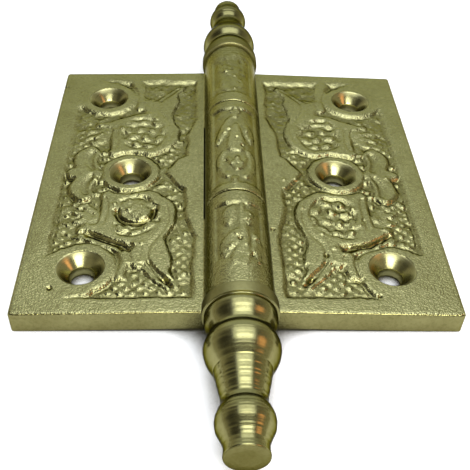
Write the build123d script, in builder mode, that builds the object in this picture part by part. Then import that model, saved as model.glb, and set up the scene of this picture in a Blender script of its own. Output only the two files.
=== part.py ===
from build123d import *
import math
import os

# Decorative butt hinge of cast brass, lying open on its back, in millimetres.
# The barrel runs along Y and the leaves reach out along -X and +X.
# The origin is at the middle of the base, straight under the barrel's axis at mid-length.

# Overall sizes
hinge_length = 88.9
leaf_reach = 44.45
leaf_thickness = 4.7
leaf_corner_radius = 0.7
leaf_edge_chamfer = 0.25

# Barrel and knuckles
barrel_radius = 6.7
axis_above_face = 1.65
end_knuckle_length = 27.1
knuckle_gap = 0.3
notch_clearance = 0.6
root_fillet = 0.7
root_overlap = 0.6

# Sunken ornament field over the top of each knuckle
field_depth = 0.45
field_half_angle = 50
field_joint_border = 3.4
field_end_border = 5.2
field_middle_border = 2.0

# Screw holes: one pair near the outer corners and one hole nearer the barrel
screw_hole_radius = 2.6
countersink_radius = 4.85
countersink_angle = 82
outer_hole_distance = 32.0
outer_hole_spacing = 63.5
middle_hole_distance = 24.2

# Sunken ornament panel, and the raised bosses around the screw holes
panel_depth = 1.0
panel_outer_border = 4.65
panel_end_border = 4.25
panel_inner_border = 1.6
panel_waist_border = 3.7
panel_waist_half_length = 13.0
panel_waist_fade = 8.0
corner_boss_radius = 7.0
corner_boss_outer_point = 3.25
corner_boss_end_point = 2.0
middle_boss_radius = 6.75

# Pin: a plain shaft with a threaded stud at each end
pin_radius = 3.5
pin_clearance = 0.05
end_play = 0.15
stud_radius = 2.5
stud_length = 9.0
stud_clearance = 0.05
stud_hole_extra_depth = 0.6
stud_chamfer = 0.4
drill_point_angle = 118

# Turned finial: distance of each station from its seat, and the radius there
collar_lip = 0.7
collar_round = 0.5
collar_length = 2.7
bowl_start = 2.85
bowl_step = 0.28
bowl_middle = 5.4
bowl_middle_radius = 6.8
waist = 7.7
waist_radius = 5.8
shoulder = 8.9
shoulder_radius = 6.52
bulge = 10.6
bulge_radius = 7.17
haunch = 13.6
haunch_radius = 6.45
cone_start = 15.5
cone_start_radius = 5.38
cone_end = 22.6
cone_end_radius = 3.93
ball_rise = 24.1
ball_rise_radius = 4.85
ball = 26.4
ball_radius = 5.29
ball_fall = 28.7
ball_fall_radius = 4.6
neck = 30.7
neck_radius = 3.87
tip_crest = 31.9
tip_radius = 3.98
tip_round_end = 32.5
tip_disc_radius = 3.85
tip_length = 32.75

# Derived sizes
half_length = hinge_length / 2
bore_radius = pin_radius + pin_clearance
back_below_axis = axis_above_face + leaf_thickness
joint_from_middle = half_length - end_knuckle_length
root_at_face = math.sqrt(barrel_radius**2 - axis_above_face**2)
notch_edge = root_at_face + notch_clearance
seat_from_middle = half_length + end_play
panel_inner_line = notch_edge + panel_inner_border
panel_waist_line = notch_edge + panel_waist_border
collar_radius = barrel_radius + collar_lip
bowl_start_radius = collar_radius - bowl_step

# The collars and the outer back edges of both leaves touch the ground,
# so the barrel's axis is one collar radius up and each leaf slopes down from it.
axis_height = collar_radius
back_edge_distance = math.hypot(leaf_reach, back_below_axis)
leaf_slope = math.asin(axis_height / back_edge_distance)
leaf_slope -= math.atan2(back_below_axis, leaf_reach)

# Each knuckle as its two ends along the barrel
left_knuckles = [
    (-half_length, -joint_from_middle - knuckle_gap / 2),
    (joint_from_middle + knuckle_gap / 2, half_length),
]
right_knuckles = [(-joint_from_middle + knuckle_gap / 2, joint_from_middle - knuckle_gap / 2)]

# Each ornament field as its two ends along the barrel
left_fields = [
    (-half_length + field_end_border, -joint_from_middle - field_joint_border),
    (joint_from_middle + field_joint_border, half_length - field_end_border),
]
right_fields = [(-joint_from_middle + field_middle_border, joint_from_middle - field_middle_border)]


def leaf_frame(side):
    """Frame of one leaf on the barrel's axis: x outwards, z out of the front face."""
    outwards = Vector(side * math.cos(leaf_slope), 0, -math.sin(leaf_slope))
    normal = Vector(side * math.sin(leaf_slope), 0, math.cos(leaf_slope))
    return Plane(origin=(0, 0, axis_height), x_dir=outwards, z_dir=normal)


def section_frame(frame):
    """Frame across the barrel: x outwards, y out of the front face."""
    return Plane(origin=frame.origin, x_dir=frame.x_dir, z_dir=frame.x_dir.cross(frame.z_dir))


def knuckle_section(plane):
    """Section of a knuckle with its root, filleted where the root meets the front face."""
    root_length = notch_edge + root_overlap
    with BuildSketch(plane) as section:
        Circle(barrel_radius)
        with Locations((root_length / 2, -axis_above_face - leaf_thickness / 2)):
            Rectangle(root_length, leaf_thickness)
        corner = section.vertices().sort_by_distance(
            plane.from_local_coords((root_at_face, -axis_above_face))
        )[0]
        fillet(corner, root_fillet)
    return section


def knuckle_field(plane):
    """Section of the sunken ornament field over the top of a knuckle."""
    start = 90 - field_half_angle
    with BuildSketch(plane) as field:
        with BuildLine():
            floor = CenterArc((0, 0), barrel_radius - field_depth, start, 2 * field_half_angle)
            above = CenterArc((0, 0), barrel_radius + field_depth, start, 2 * field_half_angle)
            Line(floor @ 0, above @ 0)
            Line(floor @ 1, above @ 1)
        make_face()
    return field


def ornament_panel(face):
    """Sunken panel of one leaf around the bosses, with its waist beside the barrel."""
    outer_line = leaf_reach - panel_outer_border
    end_line = half_length - panel_end_border
    waist_end = panel_waist_half_length + panel_waist_fade
    with BuildSketch(face) as panel:
        with BuildLine():
            Polyline(
                (panel_inner_line, waist_end),
                (panel_inner_line, end_line),
                (outer_line, end_line),
                (outer_line, -end_line),
                (panel_inner_line, -end_line),
                (panel_inner_line, -waist_end),
            )
            lower_fade = Spline(
                (panel_inner_line, -waist_end),
                (panel_waist_line, -panel_waist_half_length),
                tangents=((0, 1), (0, 1)),
            )
            upper_fade = Spline(
                (panel_waist_line, panel_waist_half_length),
                (panel_inner_line, waist_end),
                tangents=((0, 1), (0, 1)),
            )
            Line(lower_fade @ 1, upper_fade @ 0)
        make_face()
        # Each outer boss is drawn out in straight flanks to the corner of the border
        for end in (-1, 1):
            row = end * outer_hole_spacing / 2
            with BuildLine() as boss_lines:
                CenterArc((outer_hole_distance, row), corner_boss_radius, 0, 360)
                Polyline(
                    (outer_line, row - end * corner_boss_outer_point),
                    (outer_line, end * end_line),
                    (outer_hole_distance + corner_boss_end_point, end * end_line),
                )
            make_hull(boss_lines.edges(), mode=Mode.SUBTRACT)
        with Locations((middle_hole_distance, 0)):
            Circle(middle_boss_radius, mode=Mode.SUBTRACT)
    return panel


def hinge_leaf(side, knuckles, fields):
    """One cast leaf: plate, knuckles, bore, ornament fields, panel and countersunk holes."""
    frame = leaf_frame(side)
    face = frame.offset(-axis_above_face)
    across = section_frame(frame)
    front_axis = Axis(frame.origin, frame.z_dir)
    plate_width = leaf_reach - notch_edge
    sections = [(knuckle_section(across.offset(start)), end - start) for start, end in knuckles]
    sunken = [(knuckle_field(across.offset(start)), end - start) for start, end in fields]
    panel = ornament_panel(face)
    with BuildPart() as leaf:
        with BuildSketch(face):
            with Locations((notch_edge + plate_width / 2, 0)):
                Rectangle(plate_width, hinge_length)
        extrude(amount=-leaf_thickness)
        outer_corners = leaf.edges().filter_by(front_axis).group_by(Axis.X)[-1 if side > 0 else 0]
        fillet(outer_corners, leaf_corner_radius)
        chamfer(leaf.edges().group_by(front_axis)[-1], leaf_edge_chamfer)
        for section, length in sections:
            extrude(section.sketch, amount=length)
        with BuildSketch(across):
            Circle(bore_radius)
        extrude(amount=hinge_length, both=True, mode=Mode.SUBTRACT)
        for field, length in sunken:
            extrude(field.sketch, amount=length, mode=Mode.SUBTRACT)
        extrude(panel.sketch, amount=-panel_depth, mode=Mode.SUBTRACT)
        holes = [
            (outer_hole_distance, -outer_hole_spacing / 2),
            (middle_hole_distance, 0),
            (outer_hole_distance, outer_hole_spacing / 2),
        ]
        with Locations(*[face * Location(hole) for hole in holes]):
            CounterSinkHole(screw_hole_radius, countersink_radius, counter_sink_angle=countersink_angle)
    return leaf


def barrel_profile_frame(side, distance):
    """Frame for turned profiles: x along the barrel away from its middle, y outwards."""
    return Plane(
        origin=(0, side * distance, axis_height),
        x_dir=(0, side, 0),
        z_dir=(side, 0, 0),
    )


def turned_finial(side):
    """Steeple finial, seated against the pin's shoulder just past the barrel's end."""
    profile_frame = barrel_profile_frame(side, seat_from_middle)
    turning_axis = Axis(profile_frame.origin, profile_frame.x_dir)
    stud_hole_radius = stud_radius + stud_clearance
    stud_hole_depth = stud_length + stud_hole_extra_depth
    drill_point = stud_hole_radius / math.tan(math.radians(drill_point_angle / 2))
    with BuildPart() as finial:
        with BuildSketch(profile_frame):
            with BuildLine():
                Polyline(
                    (tip_length, 0),
                    (stud_hole_depth + drill_point, 0),
                    (stud_hole_depth, stud_hole_radius),
                    (0, stud_hole_radius),
                    (0, collar_radius - collar_round),
                )
                RadiusArc(
                    (0, collar_radius - collar_round),
                    (collar_round, collar_radius),
                    collar_round,
                )
                Polyline(
                    (collar_round, collar_radius),
                    (collar_length, collar_radius),
                    (bowl_start, bowl_start_radius),
                )
                ThreePointArc(
                    (bowl_start, bowl_start_radius),
                    (bowl_middle, bowl_middle_radius),
                    (waist, waist_radius),
                )
                ThreePointArc((waist, waist_radius), (shoulder, shoulder_radius), (bulge, bulge_radius))
                ThreePointArc(
                    (bulge, bulge_radius),
                    (haunch, haunch_radius),
                    (cone_start, cone_start_radius),
                )
                Line((cone_start, cone_start_radius), (cone_end, cone_end_radius))
                ThreePointArc(
                    (cone_end, cone_end_radius),
                    (ball_rise, ball_rise_radius),
                    (ball, ball_radius),
                )
                ThreePointArc((ball, ball_radius), (ball_fall, ball_fall_radius), (neck, neck_radius))
                ThreePointArc(
                    (neck, neck_radius),
                    (tip_crest, tip_radius),
                    (tip_round_end, tip_disc_radius),
                )
                Line((tip_round_end, tip_disc_radius), (tip_length, 0))
            make_face()
        revolve(axis=turning_axis)
    return finial


def turned_pin():
    """Pin through all three knuckles, shouldered for the finials."""
    profile_frame = barrel_profile_frame(1, 0)
    turning_axis = Axis(profile_frame.origin, profile_frame.x_dir)
    stud_end = seat_from_middle + stud_length
    with BuildPart() as pin:
        with BuildSketch(profile_frame):
            with BuildLine():
                Polyline(
                    (-stud_end, 0),
                    (-stud_end, stud_radius - stud_chamfer),
                    (-stud_end + stud_chamfer, stud_radius),
                    (-seat_from_middle, stud_radius),
                    (-seat_from_middle, pin_radius),
                    (seat_from_middle, pin_radius),
                    (seat_from_middle, stud_radius),
                    (stud_end - stud_chamfer, stud_radius),
                    (stud_end, stud_radius - stud_chamfer),
                    (stud_end, 0),
                    close=True,
                )
            make_face()
        revolve(axis=turning_axis)
    return pin


os.makedirs("parts", exist_ok=True)

left_leaf = hinge_leaf(-1, left_knuckles, left_fields)
left_leaf.part.label = "left_leaf"
export_step(left_leaf.part, "parts/left_leaf.step")

right_leaf = hinge_leaf(1, right_knuckles, right_fields)
right_leaf.part.label = "right_leaf"
export_step(right_leaf.part, "parts/right_leaf.step")

hinge_pin = turned_pin()
hinge_pin.part.label = "hinge_pin"
export_step(hinge_pin.part, "parts/hinge_pin.step")

upper_finial = turned_finial(1)
upper_finial.part.label = "upper_finial"
export_step(upper_finial.part, "parts/upper_finial.step")

lower_finial = turned_finial(-1)
lower_finial.part.label = "lower_finial"
export_step(lower_finial.part, "parts/lower_finial.step")
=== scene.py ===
import math

import bmesh
import bpy
import numpy as np
from bpy.props import FloatProperty, FloatVectorProperty, PointerProperty
from mathutils import Matrix, Vector


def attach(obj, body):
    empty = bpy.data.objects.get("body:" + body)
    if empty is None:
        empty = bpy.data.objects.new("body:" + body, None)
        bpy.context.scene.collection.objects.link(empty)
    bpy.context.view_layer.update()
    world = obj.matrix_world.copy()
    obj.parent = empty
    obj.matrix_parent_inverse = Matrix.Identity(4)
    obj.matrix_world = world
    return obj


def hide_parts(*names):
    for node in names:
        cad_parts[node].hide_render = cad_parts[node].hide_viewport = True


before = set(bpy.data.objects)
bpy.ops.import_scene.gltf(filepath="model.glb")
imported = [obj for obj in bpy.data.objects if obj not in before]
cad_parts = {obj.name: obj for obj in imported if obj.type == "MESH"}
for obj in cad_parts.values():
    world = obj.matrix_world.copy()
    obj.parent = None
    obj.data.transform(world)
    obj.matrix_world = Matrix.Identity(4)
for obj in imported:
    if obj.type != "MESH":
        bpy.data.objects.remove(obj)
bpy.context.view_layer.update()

bl_info = {
    "name": "Decorative Hinge",
    "version": (1, 0, 0),
    "blender": (4, 5, 0),
    "location": "3D View > Sidebar > Hinge",
    "description": "Cast and turned brass pieces of an ornamental butt hinge",
    "category": "Object",
}

MM = 0.001

# Layout of one leaf in millimetres: screw holes (distance from the barrel's axis, distance from mid-length),
# radius of the bosses round the outer and middle holes, outer and end edges of the sunken panel, and where the
# scroll's tail is cut on the near half
HOLES = ((32.0, -31.75), (24.2, 0.0), (32.0, 31.75))
OUTER_BOSS, MIDDLE_BOSS = 6.9, 6.4
PANEL_EDGE, PANEL_END = 39.8, 40.5
NEAR_SCROLL_END = 34.5
# Small rounds of the leaf's outer edges and of its corners, in millimetres
EDGE_ROUND, CORNER_ROUND = 0.45, 0.7

# Ornament of one leaf in millimetres, for the half of the leaf past its middle.
# Each point is (distance from the barrel's axis, distance from mid-length).
PANEL_INNER_LINE = [
    (10.9, 0.0), (10.9, 8.0), (10.7, 10.2), (10.7, 13.4), (10.3, 16.5), (9.3, 19.6), (8.65, 22.6),
    (8.55, 25.5), (8.7, 29.0), (9.0, 32.0), (8.9, 36.0), (8.95, 42.0),
]
SCROLL = [
    (18.7, 7.5), (16.5, 9.1), (14.8, 10.8), (13.8, 13.0), (13.5, 15.2), (13.6, 17.4), (14.4, 19.5),
    (15.1, 21.3), (15.35, 23.6), (15.1, 25.9), (14.5, 28.2), (14.2, 30.4), (14.5, 32.0), (13.9, 34.5),
    (12.6, 37.0), (13.9, 36.9), (15.6, 34.9), (17.4, 32.7), (18.6, 31.2), (19.3, 30.5), (20.2, 30.2), (21.2, 30.9),
    (22.3, 30.6), (22.9, 31.6), (23.2, 33.6), (23.1, 36.6), (23.7, 39.4), (24.4, 41.5), (26.6, 41.5), (26.0, 38.8),
    (24.9, 35.8), (24.3, 32.5), (24.2, 29.6), (24.4, 27.9), (23.2, 26.6), (22.0, 25.9), (21.7, 24.9),
    (23.6, 24.1), (26.4, 23.2), (29.7, 21.4), (32.4, 20.2), (33.7, 20.4), (33.3, 19.3), (31.2, 18.6),
    (30.0, 18.0), (29.6, 16.2), (29.5, 13.5), (29.5, 11.2), (29.3, 9.6), (29.8, 8.2), (28.6, 7.2),
    (27.3, 7.9), (25.9, 8.1), (23.5, 8.1), (20.8, 7.4),
]
ROSETTE = [
    (27.0, 12.0), (25.6, 10.2), (23.7, 9.3), (21.5, 8.7), (19.6, 9.2), (18.0, 10.6), (16.8, 12.8),
    (16.2, 15.5), (16.7, 18.2), (18.2, 20.6), (20.5, 22.1), (23.5, 22.5), (25.7, 21.4), (26.8, 19.0),
    (27.3, 15.5),
]
PETALS = [
    (31.0, -1.5), (31.3, 0.3), (32.2, 2.4), (32.8, 4.4), (32.8, 6.2), (32.5, 8.0), (33.2, 9.5),
    (34.4, 10.1), (35.8, 9.2), (37.0, 7.3), (37.4, 5.2), (36.9, 3.0), (36.3, 1.9), (37.6, 1.3),
    (38.7, 0.4), (38.9, -1.5),
]
LOBE = [
    (8.0, -1.5), (14.9, -1.0), (15.0, 0.8), (14.1, 2.4), (13.3, 3.9), (12.3, 5.2), (10.8, 6.2), (8.0, 7.0),
]
CUSP = [
    (41.5, 27.6), (39.6, 28.5), (37.6, 27.2), (35.6, 26.2), (31.0, 31.0), (29.3, 38.0), (31.6, 39.5),
    (34.0, 40.4), (34.0, 42.0), (42.0, 42.0),
]
# Raised ridges: points of distance, distance and half width, the height of the crest, and if on the near half only
RIDGES = [
    ([(30.4, 15.8, 0.3), (32.3, 13.2, 0.6), (34.0, 11.7, 0.3)], -0.3, False),
    ([(30.8, 16.4, 0.3), (33.0, 15.0, 0.6), (35.2, 14.1, 0.3)], -0.22, False),
    ([(30.9, 16.9, 0.3), (33.0, 17.0, 0.6), (35.1, 17.3, 0.3)], -0.26, False),
    ([(30.8, 17.4, 0.3), (32.3, 18.6, 0.5), (33.9, 19.4, 0.3)], -0.3, False),
    ([(34.3, 22.4, 0.1), (31.8, 22.9, 0.3), (29.0, 24.2, 0.35), (26.2, 25.8, 0.3), (24.2, 27.2, 0.1)], -0.28, True),
    ([(20.0, 31.2, 0.1), (18.0, 33.5, 0.2), (16.1, 35.7, 0.25), (14.2, 37.4, 0.15)], -0.16, True),
]
DEEP_VALLEY = [(33.2, 20.9, 0.0), (31.4, 21.3, 0.15), (28.8, 22.6, 0.2), (26.2, 24.0, 0.2), (23.9, 25.4, 0.12),
               (22.8, 26.5, 0.0)]
# Grooves: depth, width of the soft edge, points of distance, distance and half width
GROOVES = [
    (0.55, 0.5, [(18.4, 30.4, 0.05), (17.5, 31.8, 0.2), (16.0, 33.8, 0.3), (14.5, 35.7, 0.3), (13.5, 36.8, 0.1)]),
    (0.26, 0.5, [(16.9, 22.9, 0.0), (18.2, 25.0, 0.1), (18.8, 27.2, 0.12), (18.6, 29.2, 0.12), (18.2, 30.6, 0.1)]),
    (0.2, 0.5, [(21.9, 25.6, 0.0), (22.7, 27.4, 0.1), (22.4, 29.4, 0.1)]),
    (0.14, 0.5, [(20.1, 25.2, 0.0), (20.5, 27.6, 0.05), (20.4, 29.2, 0.0)]),
    (0.22, 0.6, [(15.6, 12.6, 0.0), (15.0, 15.0, 0.1), (15.0, 18.0, 0.1), (15.9, 21.0, 0.1), (16.9, 22.9, 0.0)]),
    (0.24, 0.7, [(29.0, 9.4, 0.0), (28.5, 12.0, 0.1), (28.6, 15.4, 0.1), (29.0, 18.4, 0.0)]),
    (0.5, 1.3, [(33.2, 1.6, 0.0), (34.0, 3.6, 0.2), (34.1, 5.8, 0.3), (33.7, 7.6, 0.2)]),
]
# Domed lumps: centre, half length, half width, turn in degrees, height of the top below the face
ROSETTE_LUMPS = [
    (22.7, 11.9, 3.4, 2.7, 15, 0.03), (20.9, 14.3, 2.9, 2.4, -35, 0.02), (27.0, 11.9, 1.8, 1.3, 70, 0.06),
    (27.1, 16.4, 2.0, 1.3, 112, -0.02), (25.0, 19.9, 1.8, 1.4, 152, 0.02), (21.7, 20.8, 1.7, 1.2, 186, -0.08),
    (18.5, 18.9, 2.0, 1.3, 38, 0.04), (16.8, 14.9, 2.3, 1.2, 82, 0.02), (18.0, 10.6, 1.7, 1.1, 130, -0.08),
    (24.4, 8.9, 1.8, 1.0, 20, -0.06), (23.3, 18.7, 1.1, 0.7, 60, -0.15),
]
# The fuller rosettes, with the same columns
BERRIES = [
    (20.4, 10.8, 1.8, 1.1, 20, 0.0), (23.6, 11.4, 1.5, 1.2, 60, 0.04), (26.6, 12.6, 1.7, 1.1, 110, 0.0),
    (18.1, 13.6, 1.7, 1.1, 120, -0.05), (21.2, 14.0, 1.5, 1.1, 40, 0.05), (24.4, 14.6, 1.7, 1.2, 150, 0.03),
    (17.0, 17.0, 1.8, 1.1, 80, 0.0), (20.0, 17.0, 1.5, 1.1, 20, -0.06), (22.8, 17.6, 1.5, 1.0, 100, 0.0),
    (26.0, 17.2, 1.6, 1.1, 60, 0.02), (18.9, 20.0, 1.8, 1.1, 40, 0.03), (21.9, 20.7, 1.6, 1.0, 0, -0.02),
    (24.8, 20.2, 1.6, 1.2, 140, 0.04), (28.0, 15.2, 1.2, 0.8, 90, -0.1), (22.2, 9.0, 1.6, 0.8, 0, -0.1),
]
BEADS = [
    (30.9, 2.9, 1.0, 0.8, 90, -0.15), (31.3, 7.9, 0.9, 0.8, 0, -0.15), (29.9, 5.9, 0.7, 0.7, 0, -0.25),
    (38.4, 3.3, 0.8, 0.6, 60, -0.25), (14.9, 9.1, 0.9, 0.8, 0, -0.25), (33.1, 21.6, 1.1, 1.0, 0, -0.2),
    (20.6, 31.2, 1.2, 0.9, 30, -0.15), (22.6, 32.0, 0.9, 0.7, 60, -0.3), (16.5, 5.0, 1.0, 0.8, 40, -0.3),
    (13.2, 3.4, 1.0, 0.7, 70, -0.25),
]
CRESCENT = [(26.0, 13.4, 0.05), (25.7, 15.2, 0.2), (24.6, 16.9, 0.4), (22.6, 17.8, 0.5), (20.6, 17.6, 0.45),
            (18.9, 16.4, 0.35), (18.0, 14.9, 0.2), (17.9, 13.4, 0.05)]
# Small burnished nubs of each leaf, -1 left and 1 right: distance from the axis, place along the barrel
NUBS = {
    -1: [(34.3, 12.4), (33.6, 14.2), (32.4, 15.6), (30.8, 16.5), (29.2, 17.2), (27.4, 18.0), (21.3, -8.6),
         (23.7, -10.3), (20.8, -12.4), (23.6, -13.6), (26.9, -11.7), (26.4, -13.2), (17.1, -14.7), (19.1, -17.9),
         (22.0, -18.9), (23.3, -20.0), (25.2, -19.0), (25.1, -20.7), (19.0, -16.2), (18.2, -16.9), (34.0, -10.2),
         (32.9, -11.4), (35.4, -14.4), (36.8, -15.2), (33.2, -16.2), (36.4, -18.0), (32.4, -18.6), (31.9, -2.6),
         (38.2, -1.4), (38.6, -3.4), (13.4, -10.8), (12.2, -12.0), (20.0, -24.6), (21.6, -24.8), (23.4, 22.6),
         (21.0, 23.8), (19.2, 21.8), (19.8, 20.4), (27.4, 17.6), (25.6, 18.2), (22.6, 15.4), (21.2, 15.0),
         (25.2, 12.4), (13.2, 12.2)],
    1: [(20.3, -11.0), (23.7, -12.0), (21.1, -13.7), (20.5, -15.3), (26.3, -12.8), (25.9, -15.1), (18.5, -21.4),
        (20.5, -21.4), (21.8, -22.2), (25.2, -20.9), (25.5, -18.8), (24.3, -17.6), (27.2, -18.4), (23.4, -14.6),
        (35.8, -1.4), (36.6, -2.0), (31.2, -2.2), (34.8, -9.8), (33.6, -11.0), (36.0, -13.2), (38.2, -15.0),
        (34.2, -17.6), (32.4, -19.6), (11.6, -3.0), (14.6, -2.4), (11.8, -6.8), (15.2, -13.0), (30.6, -24.0),
        (20.6, -25.9), (22.6, -27.6), (19.6, -31.4), (22.4, -32.6), (17.6, 17.4), (21.0, 22.4), (24.6, 21.6),
        (26.6, 18.4), (22.0, 15.6), (19.6, 12.6), (30.4, 8.4), (32.4, 17.0)],
}
# Pits in the right leaf's near rosette, and casting pits in both borders: place, radius, depth
ROSETTE_PITS = [(25.7, -14.2, 0.55, 0.5), (16.9, -16.9, 0.5, 0.5), (28.3, -16.6, 0.5, 0.45), (14.4, -31.1, 0.6, 0.45)]
CASTING_PITS = {
    -1: [(37.4, -37.6, 0.6, 1.3), (43.9, 37.4, 0.7, 0.4)],
    1: [(18.7, -28.2, 0.7, 0.8), (7.9, -20.4, 0.6, 0.6), (28.1, -39.6, 0.55, 0.8)],
}
# Unevenness of the castings: seed, smoothing passes, amount in millimetres
UNEVENNESS = ((11, 3, 0.026), (17, 9, 0.05), (23, 26, 0.035))

# Ornament of the knuckles: each point is (degrees to the right of the top, distance along the barrel in mm)
END_FIELD = (-50.0, 50.0, -39.6, -20.9)
END_LEAVES = [
    [(3, -29.7), (-12, -30.2), (-22, -31.4), (-33, -32.9), (-35, -34.7), (-31, -36.6), (-26, -37.2),
     (-19, -36.0), (-9, -34.3), (1, -33.0)],
    [(26, -30.6), (37, -31.2), (43, -32.7), (44, -34.6), (38, -36.6), (29, -37.2), (20, -35.4), (26, -33.5)],
    [(12, -24.2), (21, -23.9), (28, -25.4), (23, -27.6), (13, -27.8), (8, -26.1)],
    [(-14, -22.6), (-6, -22.4), (-8, -25.0), (-14, -27.4), (-24, -27.9), (-30, -25.6), (-25, -23.2)],
]
END_STEMS = [
    [(7, -22.0, 0.4), (7, -26.0, 0.6), (9, -30.0, 0.7), (11, -32.8, 0.8), (4, -34.8, 0.8), (-5, -36.8, 0.8),
     (-9, -38.8, 0.6)],
    [(11, -32.8, 0.6), (14, -35.2, 0.6), (10, -37.6, 0.7), (8, -39.4, 0.5)],
]
# Small burnished nubs on the near, middle and far knuckle: degrees, distance, radius, height
KNUCKLE_NUBS = [
    (17, -26.3, 0.9, 0.3), (-29, -36.3, 0.8, 0.22), (-21, -35.2, 0.7, 0.2), (-13, -34.1, 0.8, 0.22),
    (-4, -31.0, 0.6, 0.2), (33, -31.4, 0.8, 0.25), (16, -36.6, 0.9, 0.32), (12, -33.9, 0.6, 0.2),
    (33, -38.3, 0.7, 0.22), (22, -24.9, 0.5, 0.15), (-39, 0.8, 0.7, 0.22), (-32, 2.2, 0.7, 0.22),
    (-20, 4.4, 0.7, 0.2), (-11, 5.6, 0.8, 0.25), (26, 5.3, 0.9, 0.28), (35, 2.2, 0.8, 0.2), (5, 2.2, 0.6, 0.2),
    (-8, -7.9, 0.7, 0.22), (13, -7.8, 0.7, 0.22), (3, -6.2, 0.7, 0.22), (2, -10.0, 0.7, 0.22),
    (-4, -13.9, 0.8, 0.25), (-6, 12.6, 0.7, 0.18), (12, 12.4, 0.7, 0.18), (-34, -8.4, 0.6, 0.16),
    (38, -9.4, 0.6, 0.16), (8, 40.0, 1.0, 0.26), (-13, 31.7, 1.0, 0.3), (6, 29.2, 0.7, 0.18), (4, 23.1, 0.7, 0.18),
    (21, 33.0, 0.7, 0.12), (-20, 25.4, 0.7, 0.12),
]
END_PITS = [(1, -32.4, 0.75, 0.4), (-21, -35.4, 0.7, 0.35), (-28, -36.4, 0.6, 0.3), (24, -36.5, 0.7, 0.4),
            (33, -38.7, 0.6, 0.35), (17, -26.6, 0.7, 0.3), (35, -32.4, 0.5, 0.3)]
MIDDLE_FIELD = (-52.0, 52.0, -15.4, 14.4)
MIDDLE_LEAVES = [
    [(-5, 10.4), (-19, 8.6), (-33, 5.2), (-42, 1.6), (-37, 0.3), (-25, 2.4), (-14, 5.5), (-7, 8.4)],
    [(27, 7.2), (38, 6.1), (43, 3.2), (37, 0.6), (27, 2.6), (21, 5.2)],
    [(-5, 5.2), (-12, 2.0), (-15, -1.8), (-4, -3.0), (6, -3.2), (16, -2.6), (18, 1.0), (11, 5.2), (4, 7.4)],
    [(-15, -5.6), (-7, -8.6), (2, -10.2), (14, -9.0), (21, -5.6), (11, -7.2), (5, -5.2), (-4, -7.0)],
    [(-8, -12.9), (-3, -12.5), (3, -13.2), (0, -14.7), (-6, -14.7)],
]
MIDDLE_STEMS = [
    [(2, 10.4, 0.5), (4, 12.2, 0.7), (5, 14.2, 0.4)],
    [(-25, -3.4, 0.5), (-34, -6.0, 0.7), (-30, -9.6, 0.6), (-18, -12.0, 0.5)],
    [(28, -3.0, 0.5), (36, -5.8, 0.7), (32, -9.6, 0.6), (20, -12.2, 0.5)],
]
MIDDLE_PITS = [(4, 1.7, 0.5, 0.35), (15, -1.0, 0.7, 0.3), (-20, -6.4, 0.6, 0.3), (4, -8.2, 0.5, 0.25),
               (6, 12.6, 0.4, 0.2)]
# Whole ornament of a knuckle: its lists, the softness of its near end, and if the far half mirrors the near one
END_ORNAMENT = (END_FIELD, END_LEAVES, END_STEMS, END_PITS, 3.0, True)
MIDDLE_ORNAMENT = (MIDDLE_FIELD, MIDDLE_LEAVES, MIDDLE_STEMS, MIDDLE_PITS, 1.5, False)

# Turned finial in millimetres: distance from its seat, radius
COLLAR_AND_BOWL = [
    (0.0, 6.9), (0.14, 7.24), (0.5, 7.4), (2.5, 7.4), (2.68, 7.34), (2.76, 6.98), (3.1, 6.9), (3.7, 7.02),
    (4.5, 6.98), (5.3, 6.78), (6.1, 6.44), (6.9, 6.16), (7.6, 6.08), (8.2, 6.24), (8.8, 6.56), (9.6, 6.96),
    (10.6, 7.17), (11.6, 7.1), (12.6, 6.86), (13.4, 6.55), (14.0, 6.25), (14.7, 5.84), (15.5, 5.36),
]
CONE_AND_BALL = [
    (15.5, 5.36), (17.5, 4.96), (20.0, 4.45), (21.4, 4.17), (22.3, 4.11), (23.1, 4.34), (24.0, 4.78), (25.1, 5.15),
    (26.4, 5.29), (27.6, 5.06), (28.3, 4.77), (28.9, 4.46), (29.5, 4.2), (30.1, 4.0), (30.7, 3.9), (31.3, 3.9),
    (31.9, 3.96), (32.3, 3.98), (32.62, 3.9), (32.75, 3.7),
]
STUD_HOLE = [(0.0, 2.55), (9.6, 2.55), (11.13, 0.0)]

# Camera: focal length and picture width in pixels, place in metres, and pitch, yaw and roll in degrees
FOCAL_PIXELS, PICTURE_PIXELS = 772.986, 470
CAMERA_PLACE = (-0.0074501, -0.1442813, 0.1157636)
CAMERA_TURN = (42.0584, 3.34, 2.6106)


def metres(label, about, value):
    """Length for an add-on property group."""
    return FloatProperty(name=label, description=about, default=value, unit="LENGTH", precision=6)


def tint(label, about, value):
    """Colour for an add-on property group."""
    return FloatVectorProperty(name=label, description=about, subtype="COLOR", size=3, default=value)


def factor(label, about, value):
    """Share from 0 to 1 for an add-on property group."""
    return FloatProperty(name=label, description=about, subtype="FACTOR", min=0.0, max=1.0, default=value)


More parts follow.
